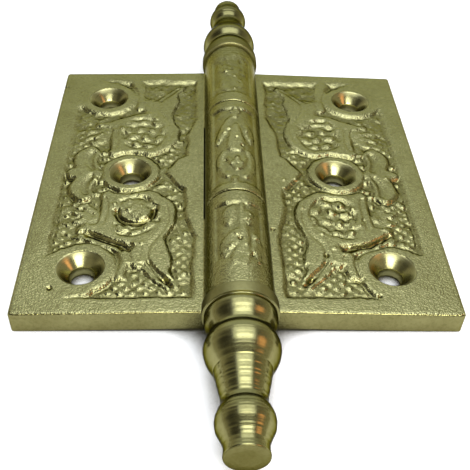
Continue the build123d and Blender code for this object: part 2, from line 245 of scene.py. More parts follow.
class HingeSizes(bpy.types.PropertyGroup):
    length: metres("Length", "Length of both leaves along the barrel", 0.0889)
    reach: metres("Leaf Reach", "From the barrel's axis to the leaf's outer edge", 0.04445)
    thickness: metres("Leaf Thickness", "Thickness of each leaf at its border", 0.0047)
    barrel_radius: metres("Barrel Radius", "Outside radius of the knuckles", 0.0067)
    bore_radius: metres("Bore Radius", "Radius of the hole for the pin", 0.00355)
    face_below_axis: metres("Face Below Axis", "From the barrel's axis down to the leaves' faces", 0.00165)
    axis_height: metres("Axis Height", "Height of the barrel's axis", 0.0074)
    slope: FloatProperty(name="Leaf Slope", description="How far each leaf slopes down from the barrel",
                         default=0.023667, unit="ROTATION", precision=5)
    end_knuckle: metres("End Knuckle", "Length of an end knuckle to the middle of its joint", 0.0271)
    knuckle_gap: metres("Knuckle Gap", "Gap between two knuckles", 0.0003)
    notch_edge: metres("Notch Edge", "From the axis to the leaf's edge beside the other leaf's knuckle", 0.007094)
    panel_depth: metres("Panel Depth", "Depth of the sunken ground of the ornament", 0.00085)
    pyramid_pitch: metres("Pyramid Pitch", "Spacing of the cross-cut pyramids in the ground", 0.00175)
    relief_step: metres("Relief Step", "Mesh spacing of the cast relief", 0.00025)


class HingeFinish(bpy.types.PropertyGroup):
    cast_color: tint("Cast Brass", "Colour of the satin cast faces", (0.30, 0.29, 0.13))
    # This darker colour is the tone of random tarnish patches, and also painted shade in the sunken ground, on the
    # leaves' outer edges, in the knuckles' fields and on the finials' end discs
    tarnish_and_shade_color: tint("Recess And Shade", "Colour of the tarnish in the sunken ground", (0.118, 0.106, 0.034))
    # The machined holes are lighter brass, made lighter still with painted reflected light
    hole_brass_and_sheen_color: tint("Machined Holes", "Colour of the machined countersinks", (0.33, 0.315, 0.14))
    turned_color: tint("Turned Brass", "Colour of the turned finials and pin", (0.242, 0.23, 0.096))
    cast_roughness: factor("Cast Roughness", "Roughness of the flat cast faces", 0.18)
    turned_roughness: factor("Turned Roughness", "Roughness of the turned faces", 0.22)


class HingeStage(bpy.types.PropertyGroup):
    floor_color: tint("Floor", "Colour of the floor", (0.8, 0.8, 0.8))
    sky_level: FloatProperty(name="Sky", description="Strength of the pale surroundings", default=1.0, min=0.0)
    lamp_height: metres("Lamp Height", "Height of the two panel lamps over the floor", 0.42)
    lamp_level: FloatProperty(name="Lamp Level", description="Brightness of the panel lamps, where white paper is 1",
                              default=3.0, min=0.0)


def smooth_step(t):
    """Soft step from 0 to 1."""
    t = np.clip(t, 0.0, 1.0)
    return t * t * (3.0 - 2.0 * t)


def flowing(points, closed=False, steps=5):
    """Smooth curve through points; further columns, such as a width, are carried along."""
    points = np.array(points, float)
    count = len(points)
    curve = []
    for i in range(count if closed else count - 1):
        around = range(i - 1, i + 3)
        p, q, r, s = (points[k % count if closed else min(max(k, 0), count - 1)] for k in around)
        for t in np.arange(steps) / steps:
            bend, twist = 2 * p - 5 * q + 4 * r - s, 3 * q - p - 3 * r + s
            curve.append(0.5 * (2 * q + (r - p) * t + bend * t**2 + twist * t**3))
    curve.append(curve[0] if closed else points[-1])
    return np.array(curve)


def to_line(u, v, line):
    """Distance to a line, less its half width where it has one."""
    nearest = np.full(u.shape, 1e3)
    for a, b in zip(line[:-1], line[1:]):
        run = b[:2] - a[:2]
        t = np.clip(((u - a[0]) * run[0] + (v - a[1]) * run[1]) / max(run @ run, 1e-12), 0.0, 1.0)
        away = np.hypot(u - a[0] - t * run[0], v - a[1] - t * run[1])
        if len(a) > 2:
            away = away - a[2] - t * (b[2] - a[2])
        nearest = np.minimum(nearest, away)
    return nearest


def to_outline(u, v, points):
    """Distance to a closed smooth outline, negative inside it."""
    line = flowing(points, closed=True)
    inside = np.zeros(u.shape, bool)
    for a, b in zip(line[:-1], line[1:]):
        if a[1] != b[1]:
            inside ^= ((a[1] > v) != (b[1] > v)) & (u < a[0] + (v - a[1]) * (b[0] - a[0]) / (b[1] - a[1]))
    away = to_line(u, v, line)
    return np.where(inside, -away, away)


def lump(u, v, shape, ground):
    """Domed lump that rises out of the ground."""
    middle_u, middle_v, half_length, half_width, turn, top = shape
    c, s = math.cos(math.radians(turn)), math.sin(math.radians(turn))
    along = ((u - middle_u) * c + (v - middle_v) * s) / half_length
    across = (-(u - middle_u) * s + (v - middle_v) * c) / half_width
    rise = np.clip(1.0 - (along**2 + across**2) ** 1.2, 0.0, 1.0) ** 0.85
    return ground + (top - ground) * rise


def pit(u, v, shape):
    """Round pit, to be taken off a surface."""
    middle_u, middle_v, radius, depth = shape
    return depth * smooth_step(1.25 * (1.0 - np.hypot(u - middle_u, v - middle_v) / radius))


def pyramids(u, v, pitch):
    """Rows of square pyramids cut crosswise, 1 at each point and 0 in the cuts."""
    def cut(t):
        return np.abs(2.0 * (t - np.floor(t + 0.5)))
    a = (u + v) / (math.sqrt(2) * pitch)
    b = (u - v) / (math.sqrt(2) * pitch)
    return 1.0 - np.maximum(cut(a), cut(b))


def softened(height, passes):
    """Height field smoothed by its neighbours."""
    for _ in range(passes):
        for axis in (0, 1):
            count = height.shape[axis]
            padded = np.pad(height, [(1, 1) if k == axis else (0, 0) for k in (0, 1)], mode="edge")
            low, high = np.take(padded, range(count), axis), np.take(padded, range(2, count + 2), axis)
            height = 0.5 * height + 0.25 * (low + high)
    return height


def casting_lumps(shape, seed, passes, amount):
    """Even, seeded unevenness of a sand casting, in millimetres."""
    lumps = softened(np.random.default_rng(seed).standard_normal(shape), passes)
    return amount * lumps / lumps.std()


def carved(distance, width):
    """1 on a line and 0 past its soft edge."""
    return 1.0 - smooth_step(distance / width)


def leaf_relief(u, y, side, depth, pitch):
    """Height of the cast ornament over a leaf's face in millimetres, and where the face is worked."""
    place_u, place_y = u, y
    near, far = y < 0, smooth_step((y - 2.0) / 24.0)
    # Both halves of both leaves follow one layout, a little unevenly
    u = u + casting_lumps(u.shape, 31 + side, 45, 0.1)
    v = np.abs(y) + casting_lumps(u.shape, 41 + side, 45, 0.1)
    if side > 0:
        v = v - 1.7 * np.exp(-((u - 28.5) ** 2 + (y + 23.0) ** 2) / 22.0)
    # How far a place is out in the sunken ground, from the border, the bosses and the scrolls
    inner = np.interp(v, [p[1] for p in PANEL_INNER_LINE], [p[0] for p in PANEL_INNER_LINE])
    border = np.minimum.reduce([(u - inner) / 1.15, PANEL_EDGE - u, (PANEL_END - v) / (1.0 + 0.9 * far)])
    (outer_u, outer_v), (middle_u, _) = HOLES[2], HOLES[1]
    middle = np.hypot(u - middle_u, v) - MIDDLE_BOSS
    scroll, *shapes = [to_outline(u, v, outline) for outline in (SCROLL, CUSP, PETALS, LOBE)]
    scroll = np.where(near, np.maximum(scroll, v - NEAR_SCROLL_END), scroll)
    if side > 0:
        corner = 0.87 * (27.8 - u) - 0.49 * (39.8 - v) + 2.0 * np.maximum(0.0, 35.5 - v)
        border = np.where(near, np.minimum(border, corner), border)
    flat = np.minimum.reduce([border, np.hypot(u - outer_u, v - outer_v) - OUTER_BOSS, middle, scroll] + shapes)
    height = -depth * smooth_step((flat + 0.25) / 1.4)
    # Pyramids of the ground, which stop short of the walls, the deep valley and the middle boss
    valley = to_line(u, v, flowing(DEEP_VALLEY))
    field = smooth_step((flat - 0.7) / 0.8) * smooth_step((valley - 0.6) / 0.6) * smooth_step((middle - 1.2) / 0.7)
    strength = np.clip(0.9 + casting_lumps(u.shape, 51 + side, 70, 0.22), 0.35, 1.3) * (1.0 - 0.3 * far)
    height += depth * field * (0.2 + 0.47 * strength * pyramids(u, v, pitch))
    # Ridges and beads that rise out of the ground, and the valley cut beside them
    ground = np.full(u.shape, -0.85 * depth)
    for ridge, crest, near_only in RIDGES:
        rise = carved(to_line(u, v, flowing(ridge)), 0.6) * np.where(near_only & (y > 0), 0.0, 1.0)
        height = np.maximum(height, ground + (crest - ground) * rise)
    for bead in BEADS:
        height = np.maximum(height, lump(u, v, bead, ground))
    height -= (depth + 0.1 + height) * carved(valley, 0.6) * (1.0 - 0.7 * far)
    # Rosette in its dish: domed on the near half of the left leaf, berries everywhere else
    rosette = to_outline(u, v, ROSETTE)
    dish = np.full(u.shape, -0.5)
    domed, fuller = (np.maximum.reduce([dish] + [lump(u, v, shape, dish) for shape in lumps])
                     for lumps in (ROSETTE_LUMPS, BERRIES))
    domed = domed - 0.6 * carved(to_line(u, v, flowing(CRESCENT)), 0.6)
    carving = np.where((side < 0) & near, domed, fuller)
    inside = smooth_step(0.3 - rosette)
    height = height * (1.0 - inside) + carving * inside
    # Grooves, nubs and pits in all of it, and the softer far half
    for cut, edge, groove in GROOVES:
        height -= cut * carved(to_line(u, v, flowing(groove)) + 0.05, edge)
    for nub_u, nub_y in NUBS[side]:
        height += pit(place_u, place_y, (nub_u, nub_y, 0.65, 0.36))
    if side > 0:
        for shape in ROSETTE_PITS:
            height -= pit(place_u, place_y, shape)
    worked = np.clip(smooth_step(0.6 + flat) + inside, 0.0, 1.0)
    height += (softened(height, 6) - height) * 0.5 * far
    return softened(height, 1), worked


def knuckle_relief(angle, y, radius, ornament):
    """Height of the cast ornament over a knuckle, in millimetres, by the angle from the top."""
    (left, right, near, far), leaves, stems, pits, soft_end, mirrored = ornament
    arc = math.radians(radius)
    u = angle * arc
    v = -np.abs(y) if mirrored else y
    sunk = np.minimum.reduce([u - left * arc, right * arc - u, (v - near) / soft_end, far - v])
    floor = -0.32 * smooth_step(sunk)
    height = floor.copy()
    faint = np.where(y > 20.0, 0.45, 1.0)
    for outline in leaves:
        rise = 1.0 - smooth_step((to_outline(u, v, [(a * arc, b) for a, b in outline]) + 0.4) / 0.95)
        height = np.maximum(height, floor + 0.28 * rise * faint)
    for stem in stems:
        rise = carved(to_line(u, v, flowing([(a * arc, b, c) for a, b, c in stem])) + 0.3, 0.8)
        height = np.maximum(height, floor + 0.26 * rise * faint)
    for a, b, size, depth in pits:
        height -= pit(u, v, (a * arc, b, size, depth)) * faint
    for a, b, size, rise in KNUCKLE_NUBS:
        height += pit(u, y, (a * arc, b, size, 1.35 * rise))
    unevenness = casting_lumps(height.shape, 61, 7, 0.02) + casting_lumps(height.shape, 67, 30, 0.025)
    return np.minimum(height + unevenness * smooth_step((sunk + 1.2) / 1.2), 0.12)


def grid_sheet(columns, rows):
    """Grid whose lines lie at the given columns and rows; returns the mesh and each vertex's column and row."""
    sheet = bmesh.new()
    bmesh.ops.create_grid(sheet, x_segments=len(columns) - 1, y_segments=len(rows) - 1, size=1.0)
    places = np.array([v.co[:] for v in sheet.verts])
    low, high = places.min(0), places.max(0)
    column = np.rint((places[:, 0] - low[0]) / (high[0] - low[0]) * (len(columns) - 1)).astype(int)
    row = np.rint((places[:, 1] - low[1]) / (high[1] - low[1]) * (len(rows) - 1)).astype(int)
    return sheet, column, row


def place(sheet, points):
    """Moves each vertex of a mesh to its point."""
    for vertex, point in zip(sheet.verts, points):
        vertex.co = point


def spaced(start, end, step):
    """Evenly spaced lines from start to end, both included, about a step apart."""
    return list(np.linspace(start, end, max(int(round((end - start) / step)), 1) + 1))


def joined_lines(*groups):
    """One rising list of grid lines without repeats."""
    return np.array(sorted({round(float(line), 4) for group in groups for line in group}))


def edge_lines(edge, inward):
    """Grid lines that carry the small round along an outer edge."""
    return [edge + inward * part for part in (0.0, 0.04, 0.12, 0.25, EDGE_ROUND)]


def rounding(inward, radius):
    """How far a rounded edge falls away at a distance inwards from it."""
    return radius - np.sqrt(np.clip(radius**2 - (radius - np.clip(inward, 0.0, radius)) ** 2, 0.0, None))


def leaf_plate(sizes, side):
    """Closed plate of one leaf, in its own frame in millimetres, with the relief on its face."""
    half = sizes.length / MM / 2
    reach = sizes.reach / MM
    step = sizes.relief_step / MM
    face = -sizes.face_below_axis / MM
    back = face - sizes.thickness / MM
    columns = joined_lines([0.0, 3.0, 5.0, 6.0, 6.4], spaced(6.6, 8.2, 0.2), spaced(8.2, 40.4, step),
                           spaced(40.4, 44.0, 0.6), edge_lines(reach, -1))
    upper = joined_lines([0.0], spaced(0.0, 41.6, step), spaced(41.6, 44.0, 0.6), edge_lines(half, -1))
    rows = np.concatenate([-upper[:0:-1], upper])
    sheet, column, row = grid_sheet(columns, rows)
    u, v = np.meshgrid(columns, rows, indexing="ij")
    height, worked = leaf_relief(u, v, side, sizes.panel_depth / MM, sizes.pyramid_pitch / MM)
    for seed, passes, amount in UNEVENNESS:
        height += casting_lumps(height.shape, seed + side, passes, amount) * (0.08 + 0.92 * worked)
    v = np.abs(v)
    root = math.sqrt((sizes.barrel_radius / MM) ** 2 - face**2)
    height += 0.7 * (1.0 - smooth_step((u - root) / 0.75)) ** 2
    height -= rounding(reach - u, EDGE_ROUND) + rounding(half - v, EDGE_ROUND)
    u = columns[column]
    y = rows[row]
    z = height[column, row]
    for shape in CASTING_PITS[side]:
        z = z - pit(u, y, shape)
    corner_u, corner_y = u - (reach - CORNER_ROUND), np.abs(y) - (half - CORNER_ROUND)
    in_corner = (corner_u > 0) & (corner_y > 0)
    pull = np.maximum(corner_u, corner_y) / np.maximum(np.hypot(corner_u, corner_y), 1e-9)
    u = np.where(in_corner, reach - CORNER_ROUND + corner_u * pull, u)
    y = np.where(in_corner, np.sign(y) * (half - CORNER_ROUND + corner_y * pull), y)
    place(sheet, np.column_stack([u, y, face + z]))
    rim = bmesh.ops.extrude_edge_only(sheet, edges=[e for e in sheet.edges if e.is_boundary])["geom"]
    for vertex in (g for g in rim if isinstance(g, bmesh.types.BMVert)):
        vertex.co.z = back
    bmesh.ops.contextual_create(sheet, geom=[e for e in sheet.edges if e.is_boundary])
    bmesh.ops.recalc_face_normals(sheet, faces=sheet.faces)
    return sheet


def knuckle_drum(sizes, side, start, end):
    """Closed drum of one knuckle, in its leaf's frame in millimetres, with the ornament on its upper side."""
    radius = sizes.barrel_radius / MM
    step = sizes.relief_step / MM * 1.1
    fine, coarse_turn, end_round = 62.0, 8.0, 0.3
    angles = joined_lines(spaced(-180.0, -fine, coarse_turn), spaced(-fine, fine, step / math.radians(radius)),
                          spaced(fine, 180.0, coarse_turn))
    rows = joined_lines([start, start + 0.05, start + 0.15], spaced(start + end_round, end - end_round, step),
                        [end - 0.15, end - 0.05, end])
    sheet, column, row = grid_sheet(angles, rows)
    angle, y = np.meshgrid(angles, rows, indexing="ij")
    turned = side * angle + side * math.degrees(sizes.slope)
    height = knuckle_relief(turned, y, radius, END_ORNAMENT if side < 0 else MIDDLE_ORNAMENT)
    height -= rounding(np.minimum(y - start, end - y), end_round)
    r = (radius + height)[column, row]
    turn = np.radians(angles[column])
    place(sheet, np.column_stack([r * np.sin(turn), rows[row], r * np.cos(turn)]))
    bmesh.ops.remove_doubles(sheet, verts=sheet.verts, dist=1e-4)
    for loop in (start, end):
        bmesh.ops.contextual_create(sheet, geom=[e for e in sheet.edges if e.is_boundary
                                                 and abs(e.verts[0].co.y - loop) < 1e-3])
    bmesh.ops.recalc_face_normals(sheet, faces=sheet.faces)
    return sheet


def turned_shape(profile, steps):
    """Closed body turned from a profile of (height, radius) points that starts and ends on the axis."""
    body = bmesh.new()
    points = [body.verts.new((radius, 0.0, height)) for height, radius in profile]
    edges = [body.edges.new(pair) for pair in zip(points[:-1], points[1:])]
    bmesh.ops.spin(body, geom=points + edges, axis=(0, 0, 1), cent=(0, 0, 0), dvec=(0, 0, 0), angle=math.tau,
                   steps=steps, use_merge=True, use_normal_flip=False, use_duplicate=False)
    bmesh.ops.remove_doubles(body, verts=body.verts, dist=1e-5)
    bmesh.ops.recalc_face_normals(body, faces=body.faces)
    return body


def block(low, high):
    """Closed block between two corners."""
    body = bmesh.new()
    low, high = Vector(low), Vector(high)
    matrix = Matrix.Translation((low + high) / 2) @ Matrix.Diagonal((*(high - low), 1.0))
    bmesh.ops.create_cube(body, size=1.0, matrix=matrix)
    return body


def screw_hole_cutter(sizes, u, y):
    """Cutter for a countersunk hole, with a slightly eased rim."""
    face = -sizes.face_below_axis / MM
    depth = sizes.thickness / MM
    profile = [(1.5, 0.0), (1.5, 5.35), (0.0, 5.02), (-0.1, 4.84), (-0.28, 4.62), (-1.2, 3.78), (-2.0, 3.1),
               (-2.5, 2.68), (-2.62, 2.6), (-depth - 1.0, 2.6), (-depth - 1.0, 0.0)]
    cutter = turned_shape(profile, 72)
    bmesh.ops.translate(cutter, verts=cutter.verts, vec=(u, y, face))
    return cutter


def as_object(name, *shapes):
    """Mesh object from one or more bmesh shapes."""
    mesh = bpy.data.meshes.new(name)
    whole = bmesh.new()
    for shape in shapes:
        part = bpy.data.meshes.new("part")
        shape.to_mesh(part)
        whole.from_mesh(part)
        bpy.data.meshes.remove(part)
        shape.free()
    whole.to_mesh(mesh)
    whole.free()
    piece = bpy.data.objects.new(name, mesh)
    bpy.context.scene.collection.objects.link(piece)
    return piece


def combine(piece, operation, *shapes):
    """Adds shapes to a piece or cuts them from it."""
    tool = as_object("tool", *shapes)
    modifier = piece.modifiers.new("combine", "BOOLEAN")
    modifier.operation = operation
    modifier.solver = "MANIFOLD"
    modifier.object = tool
    bpy.context.view_layer.update()
    result = bpy.data.meshes.new_from_object(piece.evaluated_get(bpy.context.evaluated_depsgraph_get()))
    if not result.polygons:
        raise RuntimeError("combining " + piece.name + " left nothing")
    piece.modifiers.clear()
    old = piece.data
    piece.data = result
    bpy.data.meshes.remove(old)
    tool_mesh = tool.data
    bpy.data.objects.remove(tool)
    bpy.data.meshes.remove(tool_mesh)


def finish_mesh(piece, matrix, material, sharp):
    """Places the mesh in the frame, points its faces outwards, shades it and gives it its material."""
    body = bmesh.new()
    body.from_mesh(piece.data)
    bmesh.ops.transform(body, matrix=matrix, verts=body.verts)
    bmesh.ops.recalc_face_normals(body, faces=body.faces)
    body.to_mesh(piece.data)
    body.free()
    piece.data.shade_smooth()
    piece.data.set_sharp_from_angle(angle=math.radians(sharp))
    piece.data.materials.clear()
    piece.data.materials.append(material)


def leaf_matrix(sizes, side):
    """From a leaf's own frame in millimetres to the hinge's frame in metres."""
    tilt = Matrix.Rotation(sizes.slope, 4, "Y")
    mirror = Matrix.Diagonal((side, 1.0, 1.0, 1.0))
    return Matrix.Translation((0, 0, sizes.axis_height)) @ mirror @ tilt @ Matrix.Scale(MM, 4)


def make_leaf(sizes, side, name, node, body, material):
    """One whole leaf: plate, knuckles, bore and screw holes."""
    half = sizes.length / MM / 2
    joint = half - sizes.end_knuckle / MM
    gap = sizes.knuckle_gap / MM / 2
    edge = sizes.notch_edge / MM
    ends = [(-half, -joint - gap), (joint + gap, half)]
    middle = [(-joint + gap, joint - gap)]
    knuckles, notches = (ends, [(-joint - gap, joint + gap)]) if side < 0 else (
        middle, [(-half - 1, -joint + gap), (joint - gap, half + 1)])
    piece = as_object(name, leaf_plate(sizes, side))
    holes = [screw_hole_cutter(sizes, *place) for place in HOLES]
    combine(piece, "DIFFERENCE", *[block((-1, low, -9), (edge, high, 3)) for low, high in notches], *holes)
    combine(piece, "UNION", *[knuckle_drum(sizes, side, low, high) for low, high in knuckles])
    bore_radius, past_end = sizes.bore_radius / MM, 50.0
    bore = turned_shape([(-past_end, 0.0), (-past_end, bore_radius), (past_end, bore_radius), (past_end, 0.0)], 64)
    bmesh.ops.rotate(bore, verts=bore.verts, cent=(0, 0, 0), matrix=Matrix.Rotation(math.radians(90), 3, "X"))
    combine(piece, "DIFFERENCE", bore)
    finish_mesh(piece, leaf_matrix(sizes, side), material, 60)
    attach(piece, body)
    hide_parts(node)


def finial_profile():
    """Profile of a finial with its stud hole and its turning cuts, from the tip round to the hole."""
    collar = flowing(COLLAR_AND_BOWL, steps=4)
    cone = flowing(CONE_AND_BALL, steps=8)
    bowl = np.arange(3.9, collar[-1, 0], 0.13)
    tail = np.arange(cone[0, 0], 32.6, 0.11)
    outer = [(d, r) for d, r in collar if d < 3.85]
    # Uneven turning cuts, shallow on the bowl and deeper on the cone and ball
    for along, curve, depth in ((bowl, collar, 0.01), (tail, cone, 0.024)):
        swing = along + 0.25 * np.sin(along * 1.7) + 0.16 * np.sin(along * 4.1)
        ripple = 1.0 + np.cos(swing * math.tau / 1.22) + 0.25 * np.cos(swing * math.tau / 0.47)
        outer += zip(along, np.interp(along, curve[:, 0], curve[:, 1]) - depth * ripple)
    outer += CONE_AND_BALL[-2:]
    tip = CONE_AND_BALL[-1][0]
    return [(tip, 0.0), (tip, 2.0)] + outer[::-1] + STUD_HOLE


def make_finial(sizes, end, name, node, material):
    """One turned finial, seated just past the barrel's end."""
    piece = as_object(name, turned_shape(finial_profile(), 112))
    gap = 0.00015
    seat = end * (sizes.length / 2 + gap)
    lay_down = Matrix.Rotation(math.radians(-90 * end), 4, "X")
    matrix = Matrix.Translation((0, seat, sizes.axis_height)) @ lay_down @ Matrix.Scale(MM, 4)
    finish_mesh(piece, matrix, material, 50)
    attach(piece, "pin")
    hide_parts(node)


class NodeSheet:
    """Short hand for laying out a node tree."""

    def __init__(self, tree):
        self.tree = tree

    def fill(self, socket, value):
        """Links a socket to another one, or sets its value."""
        if isinstance(value, bpy.types.NodeSocket):
            self.tree.links.new(value, socket)
        else:
            socket.default_value = value

    def add(self, kind, inputs=None, **settings):
        """One node with its settings and inputs."""
        node = self.tree.nodes.new(kind)
        node.location = (len(self.tree.nodes) * 180 - 1400, 0)
        for name, value in settings.items():
            setattr(node, name, value)
        for name, value in (inputs or {}).items():
            self.fill(node.inputs[name], value)
        return node

    def math(self, operation, a, b=0.0, clamp=False):
        return self.add("ShaderNodeMath", {0: a, 1: b}, operation=operation, use_clamp=clamp).outputs[0]

    def plus(self, a, b, clamp=False):
        return self.math("ADD", a, b, clamp)

    def minus(self, a, b):
        return self.math("SUBTRACT", a, b)

    def times(self, a, b):
        return self.math("MULTIPLY", a, b)

    def length(self, a, b):
        """Length of a vector with two parts."""
        return self.math("SQRT", self.plus(self.math("POWER", a, 2.0), self.math("POWER", b, 2.0)))

    def parts(self, vector):
        return self.add("ShaderNodeSeparateXYZ", {0: vector}).outputs

    def noise(self, vector, scale, detail=2.0, roughness=0.5):
        inputs = {"Vector": vector, "Scale": scale, "Detail": detail, "Roughness": roughness}
        return self.add("ShaderNodeTexNoise", inputs).outputs["Fac"]

    def ramp(self, value, low, high, to_low=0.0, to_high=1.0, **settings):
        inputs = {"Value": value, "From Min": low, "From Max": high, "To Min": to_low, "To Max": to_high}
        return self.add("ShaderNodeMapRange", inputs, **settings).outputs["Result"]

    def blend(self, amount, a, b):
        """Colour between two others."""
        return self.add("ShaderNodeMix", {0: amount, 6: a, 7: b}, data_type="RGBA").outputs[2]

    def lobe(self, way, direction, outer, inner):
        """Soft round patch of the sky about a direction, with its angles in degrees."""
        facing = self.add("ShaderNodeVectorMath", {0: way, 1: direction}, operation="DOT_PRODUCT").outputs["Value"]
        return self.ramp(facing, math.cos(math.radians(outer)), math.cos(math.radians(inner)),
                         interpolation_type="SMOOTHSTEP")

    def group(self, name, inputs):
        """Outputs of one of the shared node groups."""
        return self.add("ShaderNodeGroup", inputs, node_tree=bpy.data.node_groups[name]).outputs

    def finish(self, kind, surface):
        """Output node of a material or the world."""
        self.add(kind, {"Surface": surface.outputs[0]})


def new_group(name, inputs, outputs):
    """Empty shader node group; an input without a default is a vector, and one with four numbers a colour."""
    tree = bpy.data.node_groups.new(name, "ShaderNodeTree")
    for label, default in inputs.items():
        kind = "Vector" if default is None else "Color" if isinstance(default, tuple) else "Float"
        socket = tree.interface.new_socket(label, in_out="INPUT", socket_type="NodeSocket" + kind)
        if default is not None:
            socket.default_value = default
    for label, kind in outputs.items():
        tree.interface.new_socket(label, in_out="OUTPUT", socket_type="NodeSocket" + kind)
    return NodeSheet(tree), tree.nodes.new("NodeGroupInput").outputs, tree.nodes.new("NodeGroupOutput").inputs


def brass_tone_group():
    """Cloudy tone of aged brass: patches of tarnish and fine speckle, plus painted shade by the given amount."""
    sheet, source, result = new_group(
        "Brass Tone",
        {"Vector": None, "Color": (0.5, 0.5, 0.2, 1), "Tarnish And Shade": (0.3, 0.3, 0.1, 1), "Recess And Shade": 0.0},
        {"Color": "Color", "Cloud": "Float"})
    cloud = sheet.noise(source["Vector"], 95.0, 4.0, 0.6)
    speckle = sheet.noise(source["Vector"], 1500.0, 3.0, 0.7)
    patches = sheet.times(sheet.ramp(cloud, 0.35, 0.75), 0.35)
    spots = sheet.times(sheet.ramp(speckle, 0.45, 0.72), 0.22)
    # Painted shade from the given amount, added to the tarnish patches and speckle
    amount = sheet.plus(sheet.plus(patches, spots), source["Recess And Shade"], clamp=True)
    sheet.fill(result["Color"], sheet.blend(amount, source["Color"], source["Tarnish And Shade"]))
    sheet.fill(result["Cloud"], cloud)


def cast_grain_group():
    """Fine sandy grain of a casting, as a height."""
    sheet, source, result = new_group("Cast Grain", {"Vector": None, "Amount": 1.0}, {"Height": "Float"})
    fine = sheet.noise(source["Vector"], 3400.0, 1.0)
    coarse = sheet.noise(source["Vector"], 1900.0, 1.0)
    grain = sheet.plus(sheet.times(fine, 0.4), sheet.times(coarse, 0.6))
    sheet.fill(result["Height"], sheet.times(grain, source["Amount"]))


def turning_lines_group():
    """Fine lines left by the lathe round the Y axis, as a height and as a mask."""
    sheet, source, result = new_group(
        "Turning Lines", {"Vector": None, "Amount": 1.0}, {"Height": "Float", "Lines": "Float"})
    spread = sheet.add("ShaderNodeVectorMath", {0: source["Vector"], 1: (12.0, 1.0, 12.0)}, operation="MULTIPLY")
    along = sheet.add("ShaderNodeCombineXYZ", {"Y": sheet.parts(source["Vector"])["Y"]}).outputs[0]
    fine = sheet.noise(along, 4200.0, 2.0, 0.7)
    broad = sheet.noise(along, 900.0, 1.0)
    wander = sheet.noise(spread.outputs[0], 20.0, 1.0)
    lines = sheet.plus(sheet.plus(sheet.times(fine, 0.6), sheet.times(broad, 0.4)), sheet.times(wander, 0.05))
    sheet.fill(result["Lines"], lines)
    sheet.fill(result["Height"], sheet.times(lines, source["Amount"]))


def leaf_zones_group(sizes):
    """Masks of one leaf from its place in metres: where shade is painted, by the depth in the relief, along the outer
    edges and in the knuckles' fields, and inside a screw hole.
    """
    sheet, source, result = new_group("Leaf Zones", {"Vector": None}, {"Recess And Shade": "Float", "Hole": "Float"})
    parts = sheet.parts(source["Vector"])
    x = sheet.math("ABSOLUTE", parts["X"])
    y = sheet.math("ABSOLUTE", parts["Y"])
    z = sheet.minus(parts["Z"], sizes.axis_height)
    over = sheet.plus(sheet.times(x, math.sin(sizes.slope)), sheet.times(z, math.cos(sizes.slope)))
    below = sheet.minus(-sizes.face_below_axis, over)
    radius = sheet.length(x, z)
    in_panel = sheet.times(sheet.math("LESS_THAN", x, (PANEL_EDGE + 1.4) * MM),
                           sheet.math("LESS_THAN", y, (PANEL_END + 1.7) * MM))
    near_face = sheet.math("LESS_THAN", below, 0.0025)
    ground = sheet.times(sheet.ramp(below, 0.0004, 0.001), sheet.times(in_panel, near_face))
    # Painted shade along the leaf's outer edges
    outer_edge = sheet.math("MAXIMUM", sheet.ramp(x, 0.044, 0.0443, 0.0, 0.6), sheet.ramp(y, 0.044, 0.0443, 0.0, 0.6))
    on_barrel = sheet.math("LESS_THAN", radius, sizes.barrel_radius + 0.0002)
    # On a knuckle the painted shade follows the depth of its sunken field; on the plate, the sunken ground and the
    # outer edges
    sheet.fill(result["Recess And Shade"], sheet.add("ShaderNodeMix", {
        0: on_barrel, 2: sheet.math("MAXIMUM", ground, outer_edge),
        3: sheet.ramp(sheet.minus(sizes.barrel_radius, radius), 0.00015, 0.0006, 0.0, 0.7)},
        data_type="FLOAT").outputs[0])
    away = [sheet.length(sheet.minus(x, u * MM), sheet.minus(y, v * MM)) for u, v in HOLES[1:]]
    in_rim = sheet.math("LESS_THAN", sheet.math("MINIMUM", *away), 0.00492)
    within = sheet.times(sheet.math("GREATER_THAN", below, 0.00005), sheet.math("LESS_THAN", below, 0.0045))
    sheet.fill(result["Hole"], sheet.times(in_rim, within))


def new_material(name):
    """Empty node-based material."""
    material = bpy.data.materials.new(name)
    material.use_nodes = True
    material.node_tree.nodes.clear()
    return material, NodeSheet(material.node_tree)


def metal_surface(sheet, color, rough, height, distance, grazing_shade):
    """Bumpy metal, with a darker colour at a grazing angle that paints shade on its rims."""
    bump = sheet.add("ShaderNodeBump", {"Strength": 1.0, "Distance": distance, "Height": height})
    sheet.finish("ShaderNodeOutputMaterial", sheet.add("ShaderNodeBsdfPrincipled", {
        "Base Color": color, "Metallic": 1.0, "Roughness": rough, "Normal": bump.outputs["Normal"],
        "Specular Tint": grazing_shade}))


